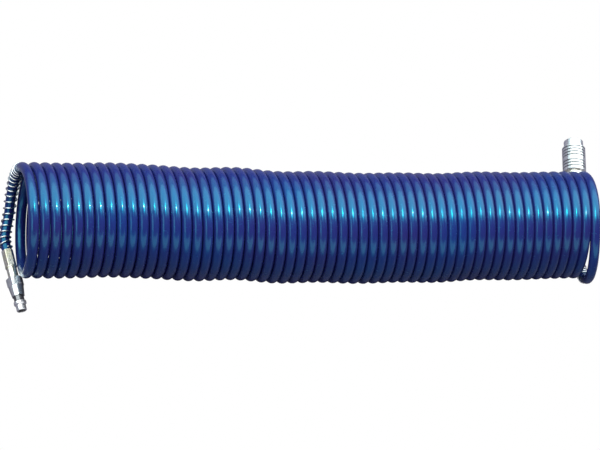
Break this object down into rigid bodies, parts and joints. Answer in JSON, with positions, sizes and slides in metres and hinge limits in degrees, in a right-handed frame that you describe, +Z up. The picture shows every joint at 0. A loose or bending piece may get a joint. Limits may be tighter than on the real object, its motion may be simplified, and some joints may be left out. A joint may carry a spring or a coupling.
{
  "type": "coiled air hose",
  "caption": "Coiled compressed-air hose lying on its side, with spring-guarded swivel ends: a push-in plug at one end and a quick-release socket with a sliding sleeve at the other.",
  "frame": {"origin": "bottom centre of the bounding box, on the surface that the coil lies on", "axes": "+X along the coil from the plug end to the socket end, +Z up from the surface; the plug points to -Y and the socket to +Y"},
  "size_m": [0.6642, 0.2064, 0.115],
  "materials": {
    "blue_hose": "glossy",
    "spring_steel": "bright drawn wire",
    "nickel_brass": "nickel plated",
    "plated_steel": "bright plated",
    "ball_steel": "polished",
    "seal_rubber": "matte"
  },
  "bodies": {
    "root": {"hose_coil": "blue_hose", "hose_tail_plug": "blue_hose", "plug_spring_guard": "spring_steel", "plug_barbed_stem": "nickel_brass", "plug_swivel_o_ring": "seal_rubber", "plug_snap_ring": "spring_steel"},
    "plug": {"plug_thrust_washer": "nickel_brass", "plug_swivel_neck": "nickel_brass", "plug_thread_seal": "seal_rubber", "plug_nipple": "plated_steel"},
    "socket_end": {"hose_tail_socket": "blue_hose", "socket_spring_guard": "spring_steel", "socket_barbed_stem": "nickel_brass", "socket_swivel_o_ring": "seal_rubber", "socket_snap_ring": "spring_steel"},
    "socket": {"socket_thrust_washer": "nickel_brass", "socket_swivel_neck": "nickel_brass", "socket_thread_seal": "seal_rubber", "socket_adapter": "nickel_brass", "socket_body": "plated_steel", "socket_body_seal": "seal_rubber", "socket_nose_ring": "plated_steel", "mouth_o_ring": "seal_rubber", "valve_spring": "spring_steel", "sleeve_spring": "spring_steel"},
    "sleeve": {"locking_sleeve": "plated_steel"},
    "check_valve": {"valve": "nickel_brass", "valve_seal": "seal_rubber"},
    "ball_1": {"locking_ball_1": "ball_steel"},
    "ball_2": {"locking_ball_2": "ball_steel"},
    "ball_3": {"locking_ball_3": "ball_steel"},
    "ball_4": {"locking_ball_4": "ball_steel"},
    "ball_5": {"locking_ball_5": "ball_steel"},
    "ball_6": {"locking_ball_6": "ball_steel"}
  },
  "joints": [
    {"name": "coil_stretch", "type": "slide", "parent": "root", "child": "socket_end", "axis": [1, 0, 0], "range_m": [0, 1.5], "stiffness_N_per_m": 2.3, "deforming": ["hose_coil"]},
    {"name": "plug_swivel", "type": "hinge", "parent": "root", "child": "plug", "pos_m": [-0.31934, -0.05561, 0.0089], "axis": [0.1736, -0.9848, 0], "continuous": true},
    {"name": "socket_swivel", "type": "hinge", "parent": "socket_end", "child": "socket", "pos_m": [0.31164, 0.04188, 0.0132], "axis": [0.1495, 0.9888, 0], "continuous": true},
    {"name": "sleeve_slide", "type": "slide", "parent": "socket", "child": "sleeve", "axis": [-0.1495, -0.9888, 0], "range_m": [0, 0.0045], "stiffness_N_per_m": 2000, "springref_m": -0.006, "deforming": ["sleeve_spring"]},
    {"name": "valve_slide", "type": "slide", "parent": "socket", "child": "check_valve", "axis": [-0.1495, -0.9888, 0], "range_m": [0, 0.0026], "stiffness_N_per_m": 500, "springref_m": -0.006, "deforming": ["valve_spring"]},
    {"name": "ball_1_slide", "type": "slide", "parent": "socket", "child": "ball_1", "axis": [0, 0, 1], "range_m": [0, 0.00105]},
    {"name": "ball_2_slide", "type": "slide", "parent": "socket", "child": "ball_2", "axis": [0.8563, -0.1295, 0.5], "range_m": [0, 0.00105]},
    {"name": "ball_3_slide", "type": "slide", "parent": "socket", "child": "ball_3", "axis": [0.8563, -0.1295, -0.5], "range_m": [0, 0.00105]},
    {"name": "ball_4_slide", "type": "slide", "parent": "socket", "child": "ball_4", "axis": [0, 0, -1], "range_m": [0, 0.00105]},
    {"name": "ball_5_slide", "type": "slide", "parent": "socket", "child": "ball_5", "axis": [-0.8563, 0.1295, -0.5], "range_m": [0, 0.00105]},
    {"name": "ball_6_slide", "type": "slide", "parent": "socket", "child": "ball_6", "axis": [-0.8563, 0.1295, 0.5], "range_m": [0, 0.00105]}
  ],
  "couplings": [
    {"joint": "ball_1_slide", "follows": "sleeve_slide", "ratio": 0.2333},
    {"joint": "ball_2_slide", "follows": "sleeve_slide", "ratio": 0.2333},
    {"joint": "ball_3_slide", "follows": "sleeve_slide", "ratio": 0.2333},
    {"joint": "ball_4_slide", "follows": "sleeve_slide", "ratio": 0.2333},
    {"joint": "ball_5_slide", "follows": "sleeve_slide", "ratio": 0.2333},
    {"joint": "ball_6_slide", "follows": "sleeve_slide", "ratio": 0.2333}
  ]
}
